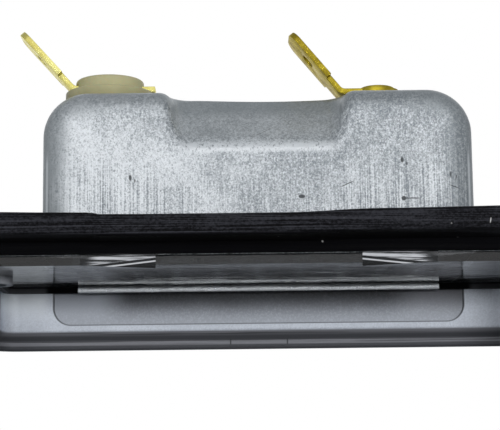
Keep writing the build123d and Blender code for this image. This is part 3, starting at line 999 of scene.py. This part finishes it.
@dataclass
class Gasket:
    """Rubber gasket whose front lip lifts at both ends, with sizes in millimetres."""

    node: str = "gasket"
    rubber: GasketRubber = GasketRubber()
    slice_width: float = 1.5
    held_depth: float = -12.6
    free_depth: float = -17.5
    step_at: float = -20.1
    step_width: float = 0.5
    step_rise: float = 0.2
    left_start: float = -14.0
    left_rise: float = 0.3
    right_start: float = 3.0
    right_end: float = 15.5
    right_rise: float = 0.42
    tip_rise: float = 0.25
    wave: float = 0.07
    wave_length: float = 3.5
    skirt_trim: float = 0.35

    def sliced(self) -> bpy.types.Object:
        """Copy of the gasket with its skirt trimmed, cut into slices that can bend.

        Returns:
            The sliced piece.
        """
        low, high = (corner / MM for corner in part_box(self.node))
        mesh = node_copy(self.node)
        skirt = low[2] + self.skirt_trim
        for vertex in mesh.verts:
            vertex.co.z = max(vertex.co.z, skirt)
        cuts = [((x, 0, 0), (1, 0, 0)) for x in self.steps(low[0], high[0])]
        cuts += [((0, y, 0), (0, 1, 0)) for y in self.steps(low[1], self.held_depth)]
        for side in (-0.5, 0.5):
            cuts.append(((self.step_at + side * self.step_width, 0, 0), (1, 0, 0)))
        for point, normal in cuts:
            geometry = mesh.verts[:] + mesh.edges[:] + mesh.faces[:]
            bmesh.ops.bisect_plane(mesh, geom=geometry, plane_co=point, plane_no=normal)
        return new_piece("gasket_seal", mesh)

    def steps(self, start: float, end: float) -> list[float]:
        """Places of the cuts between two ends."""
        count = math.ceil((end - start) / self.slice_width)
        return [start + (end - start) * index / count for index in range(1, count)]

    def lift(self, material: bpy.types.Material) -> GeometryTree:
        """Tree that lifts the front lip.

        Args:
            material: Finish of the gasket.

        Returns:
            The tree.
        """
        tree = GeometryTree("gasket_lip_lift")
        names = (
            "held_depth", "free_depth", "step_at", "step_width", "step_rise", "left_start", "left_rise",
            "right_start", "right_end", "right_rise", "tip_rise", "wave",
        )
        sizes = {name: tree.size(name.replace("_", " "), getattr(self, name) * MM) for name in names}
        place = tree.node("GeometryNodeInputPosition").outputs[0]
        split = tree.node("ShaderNodeSeparateXYZ", Vector=place)
        along, across = split.outputs["X"], split.outputs["Y"]
        end = tree.size("lip end", -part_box(self.node)[0][0])
        start = tree.math("MULTIPLY", end, -1.0)
        step_end = tree.math("SUBTRACT", sizes["step_at"], sizes["step_width"])
        ripple = tree.node("ShaderNodeTexNoise", Vector=place, Scale=1 / (self.wave_length * MM), Detail=2.0)
        rise = tree.sum(
            (tree.ramp(along, sizes["step_at"], step_end), sizes["step_rise"]),
            (tree.ramp(along, sizes["left_start"], start), sizes["left_rise"]),
            (tree.ramp(along, sizes["right_start"], sizes["right_end"]), sizes["right_rise"]),
            (tree.ramp(along, sizes["right_end"], end), sizes["tip_rise"]),
            (tree.math("SUBTRACT", ripple.outputs[0], 0.5), sizes["wave"]),
        )
        free = tree.ramp(across, sizes["held_depth"], sizes["free_depth"])
        offset = tree.node("ShaderNodeCombineXYZ", Z=tree.product(rise, free))
        moved = tree.node(
            "GeometryNodeSetPosition", Geometry=tree.start.outputs[0], Offset=offset.outputs[0]
        )
        tree.close(moved.outputs[0], material)
        return tree

    def build(self) -> None:
        """Builds the gasket and seats it on the lamp."""
        material = self.rubber.material()
        piece = self.sliced()
        piece.data.materials.append(material)
        self.lift(material).apply(piece)
        seat(piece, self.node)


@dataclass
class Terminals:
    """Blade terminals and rivets, with the stamped edges eased, in millimetres and degrees."""

    live: StampedBrass = StampedBrass("live_brass", (1.0, 0.94, 0.36), (0.86, 0.75, 0.2))
    earth: StampedBrass = StampedBrass("earth_brass", (0.66, 0.53, 0.05), (0.42, 0.32, 0.03))
    edge: float = 0.09
    edge_angle: float = 35.0
    edge_steps: int = 2
    flat_angle: float = 0.5

    def eased(self, node: str, name: str) -> bpy.types.Object:
        """Copy of a terminal with small rounds along its sharp edges.

        Args:
            node: Node to copy.
            name: Name of the piece.

        Returns:
            The piece.
        """
        mesh = node_copy(node)
        flat, limit = math.radians(self.flat_angle), math.radians(self.edge_angle)
        bmesh.ops.dissolve_limit(mesh, angle_limit=flat, verts=mesh.verts, edges=mesh.edges)
        sharp = [e for e in mesh.edges if len(e.link_faces) == 2 and e.calc_face_angle() > limit]
        bmesh.ops.bevel(
            mesh, geom=sharp, offset=self.edge, offset_type="OFFSET", segments=self.edge_steps, profile=0.5,
            affect="EDGES", clamp_overlap=True,
        )
        return new_piece(name, mesh)

    def build(self) -> None:
        """Builds both terminals and finishes their rivets."""
        for side, finish in (("live", self.live), ("earth", self.earth)):
            material = finish.material()
            piece = self.eased(f"{side}_terminal", f"{side}_blade")
            piece.data.materials.append(material)
            seat(piece, f"{side}_terminal")
            finish_node(f"{side}_rivet", material)


@dataclass
class Filament:
    """Coiled filament on two lead wires, in millimetres."""

    node: str = "bulb_filament"
    tungsten: RolledMetal = RolledMetal(
        "tungsten", (0.3, 0.3, 0.32), (0.16, 0.16, 0.17), (0.3, 0.7, 0.34, 0.5)
    )
    turns: float = 22.0
    turn_points: int = 24
    coil_length: float = 8.0
    coil_radius: float = 0.45
    wire_radius: float = 0.07
    wire_sides: int = 8
    lead_radius: float = 0.2
    lead_sides: int = 12

    def drawn(self, tree: GeometryTree, path: Socket, radius: Socket, sides: int) -> Socket:
        """Round wire along a path.

        Args:
            tree: Tree to build in.
            path: Curve that the wire follows.
            radius: Radius of the wire.
            sides: Number of sides of its section.

        Returns:
            The wire's geometry.
        """
        ring = tree.node("GeometryNodeCurvePrimitiveCircle", Resolution=sides, Radius=radius)
        wire = tree.node(
            "GeometryNodeCurveToMesh", Curve=path, Profile_Curve=ring.outputs[0], Fill_Caps=True
        )
        return wire.outputs[0]

    def tree(self, material: bpy.types.Material) -> GeometryTree:
        """Tree that winds the coil and draws its leads.

        Args:
            material: Finish of the wire.

        Returns:
            The tree.
        """
        low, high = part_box(self.node)
        middle = [(a + b) / 2 for a, b in zip(low, high)]
        tree = GeometryTree("filament_coil")
        turns = tree.size("turns", self.turns)
        length = tree.size("coil length", self.coil_length * MM)
        radius = tree.size("coil radius", (self.coil_radius - self.wire_radius) * MM)
        wire = tree.size("wire radius", self.wire_radius * MM)
        lead = tree.size("lead radius", self.lead_radius * MM)
        reach = tree.size("lead reach", (high[0] - low[0]) / 2)
        spiral = tree.node(
            "GeometryNodeCurveSpiral", Resolution=self.turn_points, Rotations=turns, Start_Radius=radius,
            End_Radius=radius, Height=length,
        )
        half = tree.math("MULTIPLY", length, 0.5)
        drop = tree.node("ShaderNodeCombineXYZ", Z=tree.math("MULTIPLY", half, -1.0))
        centred = tree.node(
            "GeometryNodeTransform", Geometry=spiral.outputs[0], Translation=drop.outputs[0]
        )
        wires = [self.drawn(tree, centred.outputs[0], wire, self.wire_sides)]
        for side in (-1.0, 1.0):
            start = tree.node("ShaderNodeCombineXYZ", X=radius, Z=tree.math("MULTIPLY", half, side))
            end = tree.node("ShaderNodeCombineXYZ", Z=tree.math("MULTIPLY", reach, side))
            line = tree.node(
                "GeometryNodeCurvePrimitiveLine", Start=start.outputs[0], End=end.outputs[0]
            )
            wires.append(self.drawn(tree, line.outputs[0], lead, self.lead_sides))
        joined = tree.node("GeometryNodeJoinGeometry")
        for part in wires:
            tree.link(part, joined.inputs[0])
        placed = tree.node(
            "GeometryNodeTransform", Geometry=joined.outputs[0], Translation=middle,
            Rotation=radians((0.0, 90.0, 0.0)),
        )
        tree.close(placed.outputs[0], material)
        return tree

    def build(self) -> None:
        """Winds the filament and seats it in the bulb."""
        material = self.tungsten.material()
        piece = new_piece("filament", bmesh.new())
        self.tree(material).apply(piece)
        piece.data.shade_smooth()
        seat(piece, self.node)


@dataclass
class Lamp:
    """Pieces of the lamp that stay as they were packed, and their finishes."""

    aluminium: DrawnAluminium = DrawnAluminium()
    silver: CastSilver = CastSilver()
    plastic: ClearPlastic = ClearPlastic()
    nylon: NaturalNylon = NaturalNylon()
    bronze: RolledMetal = RolledMetal(
        "spring_bronze", (0.66, 0.47, 0.24), (0.42, 0.28, 0.13), (0.3, 0.7, 0.24, 0.4)
    )
    nickel: RolledMetal = RolledMetal(
        "nickel", (0.66, 0.64, 0.6), (0.46, 0.44, 0.4), (0.3, 0.7, 0.16, 0.32)
    )
    glass: BulbGlass = BulbGlass()

    def build(self) -> None:
        """Gives each carried-over piece its finish."""
        finishes = (
            (self.aluminium, ("housing",)),
            (self.silver, ("hood",)),
            (self.plastic, ("lens",)),
            (self.nylon, ("live_insulator", "live_inner_insulator")),
            (self.bronze, ("live_contact_spring", "earth_contact_spring")),
            (self.glass, ("bulb_glass",)),
            (self.nickel, ("bulb_cap_live", "bulb_cap_earth")),
        )
        for finish, nodes in finishes:
            material = finish.material()
            for node in nodes:
                finish_node(node, material)


@dataclass(frozen=True)
class Softbox:
    """Softbox that faces the lamp, at degrees to the right of the camera's side and above the floor.

    Its power is in watts, and its spread says how many times larger it is than the front ones.
    """

    name: str
    azimuth: float
    height: float
    power: float
    spread: float = 1.0


@dataclass
class Studio:
    """White studio with softboxes, glowing grey cards round the lamp, a pale floor and the camera.

    Lengths are in metres and angles in degrees.
    """

    floor_drop: float = 0.3 * MM
    floor_reach: float = 3.0
    floor_pale: Colour = (0.9, 0.9, 0.9)
    floor_bounce: Colour = (0.3, 0.3, 0.3)
    floor_rough: float = 0.9
    floor_clear: float = 0.42
    floor_solid: float = 0.14
    camera_place: Triple = (-1.1 * MM, -213.7 * MM, -17.3 * MM)
    camera_near: float = 5 * MM
    pitch: float = 9.17
    roll: float = -0.65
    focal: float = 113.8
    softboxes: tuple[Softbox, ...] = (
        Softbox("left_softbox", -10.0, 5.5, 1.6),
        Softbox("right_softbox", 14.0, 4.2, 3.2),
        Softbox("back_softbox", 180.0, 50.0, 2.5, 3.0),
    )
    softbox_reach: float = 0.75
    softbox_width: float = 0.2
    softbox_height: float = 0.1
    fill: float = 0.15
    fill_colour: Colour = (0.9, 0.95, 1.0)
    flag_side: float = 0.45
    flag_front: float = 0.58
    flag_height: float = 0.6
    flag_glow: float = 0.38
    flag_colour: Colour = (0.95, 0.98, 1.0)

    def build(self) -> None:
        """Sets the view, the light, the floor and the camera."""
        bpy.context.scene.view_settings.view_transform = "Standard"
        self.set_world()
        self.add_floor()
        self.add_camera()
        for softbox in self.softboxes:
            self.add_softbox(softbox)
        side, high = self.flag_side, self.flag_height
        front, back = -self.flag_front, self.flag_front
        for name, x in (("left_flag", -side), ("right_flag", side)):
            self.add_flag(name, [(x, front, 0), (x, back, 0), (x, back, high), (x, front, high)])
        top = ((-side, front), (side, front), (side, back), (-side, back))
        self.add_flag("top_flag", [(x, y, high) for x, y in top])

    def set_world(self) -> None:
        """White behind the lamp and a softer light from all round it."""
        world = bpy.data.worlds.new("studio_world")
        bpy.context.scene.world = world
        world.use_nodes = True
        graph = NodeBuilder(world.node_tree)
        fill = world.node_tree.nodes["Background"]
        fill.inputs["Color"].default_value = (*self.fill_colour, 1.0)
        fill.inputs["Strength"].default_value = self.fill
        white = graph.node("ShaderNodeBackground", Color=(1.0, 1.0, 1.0, 1.0))
        path = graph.node("ShaderNodeLightPath")
        seen = graph.union(*(path.outputs[name] for name in SEEN_RAYS))
        mix = graph.node("ShaderNodeMixShader", seen, fill.outputs[0], white.outputs[0])
        graph.link(mix.outputs[0], world.node_tree.nodes["World Output"].inputs["Surface"])

    def add_card(self, name: str, corners: list[Triple], material: bpy.types.Material) -> bpy.types.Object:
        """Adds a flat card that isn't part of the lamp.

        Args:
            name: Name of the card.
            corners: Its four corners.
            material: Its finish.

        Returns:
            The card.
        """
        mesh = bpy.data.meshes.new(name)
        mesh.from_pydata(corners, [], [(0, 1, 2, 3)])
        mesh.materials.append(material)
        card = bpy.data.objects.new(name, mesh)
        bpy.context.scene.collection.objects.link(card)
        return card

    def add_floor(self) -> None:
        """Pale floor under the rim that is clear from below and fades into the white far off."""
        graph = NodeGraph("studio_floor")
        path = graph.node("ShaderNodeLightPath")
        seen = graph.union(*(path.outputs[name] for name in SEEN_RAYS))
        colour = graph.mix(seen, self.floor_bounce, self.floor_pale)
        graph.shade(Base_Color=colour, Roughness=self.floor_rough, Specular_IOR_Level=0.0)
        below = graph.node("ShaderNodeNewGeometry").outputs["Backfacing"]
        fade = 1 - self.floor_solid / self.floor_clear
        near = graph.spot(Mark(even(0.0), even(self.floor_clear / MM), soft=fade))
        far = graph.math("SUBTRACT", path.outputs["Is Camera Ray"], near)
        clear = graph.node("ShaderNodeBsdfTransparent").outputs[0]
        mix = graph.node("ShaderNodeMixShader", graph.union(below, far), graph.shader.outputs[0], clear)
        graph.link(mix.outputs[0], graph.output.inputs["Surface"])
        reach, level = self.floor_reach, -self.floor_drop
        corners = ((-reach, -reach), (reach, -reach), (reach, reach), (-reach, reach))
        self.add_card("studio_floor", [(x, y, level) for x, y in corners], graph.material)

    def add_flag(self, name: str, corners: list[Triple]) -> None:
        """Glowing grey card that only the lamp's surfaces see.

        Args:
            name: Name of the card.
            corners: Its four corners.
        """
        material = NodeGraph(name).shade(
            Base_Color=even(0.0), Specular_IOR_Level=0.0, Emission_Color=self.flag_colour,
            Emission_Strength=self.flag_glow,
        )
        flag = self.add_card(name, corners, material)
        flag.visible_camera = False
        flag.visible_shadow = False

    def add_camera(self) -> None:
        """Camera a little below the rim, looking up at the front."""
        data = bpy.data.cameras.new("camera")
        data.lens = self.focal
        data.clip_start = self.camera_near
        camera = bpy.data.objects.new("camera", data)
        camera.location = self.camera_place
        turn = Euler((math.radians(90 + self.pitch), 0, 0)).to_matrix()
        roll = Matrix.Rotation(math.radians(self.roll), 3, "Z")
        camera.rotation_euler = (turn @ roll).to_euler()
        bpy.context.scene.collection.objects.link(camera)
        bpy.context.scene.camera = camera

    def add_softbox(self, softbox: Softbox) -> None:
        """Adds a softbox that reflections and clear pieces don't show.

        Args:
            softbox: The softbox.
        """
        data = bpy.data.lights.new(softbox.name, "AREA")
        data.shape = "RECTANGLE"
        data.size = self.softbox_width * softbox.spread
        data.size_y = self.softbox_height * softbox.spread
        data.energy = softbox.power
        light = bpy.data.objects.new(softbox.name, data)
        turn, rise = math.radians(softbox.azimuth), math.radians(softbox.height)
        aim = Vector((math.sin(turn) * math.cos(rise), -math.cos(turn) * math.cos(rise), math.sin(rise)))
        light.location = aim * self.softbox_reach
        light.rotation_euler = (-aim).to_track_quat("-Z", "Y").to_euler()
        light.visible_glossy = False
        light.visible_transmission = False
        bpy.context.scene.collection.objects.link(light)


def main() -> None:
    """Builds the studio and the lamp."""
    logging.basicConfig(level=logging.INFO, format="%(message)s")
    Studio().build()
    Lamp().build()
    Gasket().build()
    Terminals().build()
    Filament().build()


if __name__ == "__main__":
    main()
